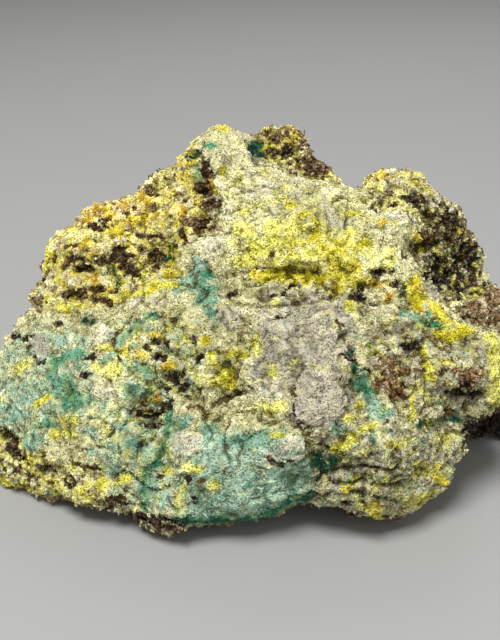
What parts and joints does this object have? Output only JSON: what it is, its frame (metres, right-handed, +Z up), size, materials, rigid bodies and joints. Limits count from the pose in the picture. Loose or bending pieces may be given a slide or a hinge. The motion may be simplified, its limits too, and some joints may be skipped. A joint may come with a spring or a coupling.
{
  "type": "uranophane and kasolite specimen",
  "caption": "Rough piece of yellow and green ore on dark brown rock, broken from its vein, that rests on its own underside.",
  "frame": {"origin": "middle of the bounding box's base, where the underside rests", "axes": "+X to the right as seen from the crusted front, +Y from the front to the back, +Z up"},
  "size_m": [0.0776, 0.0422, 0.0447],
  "materials": {
    "ore": "matte"
  },
  "bodies": {
    "root": {"specimen": "ore"}
  },
  "joints": []
}
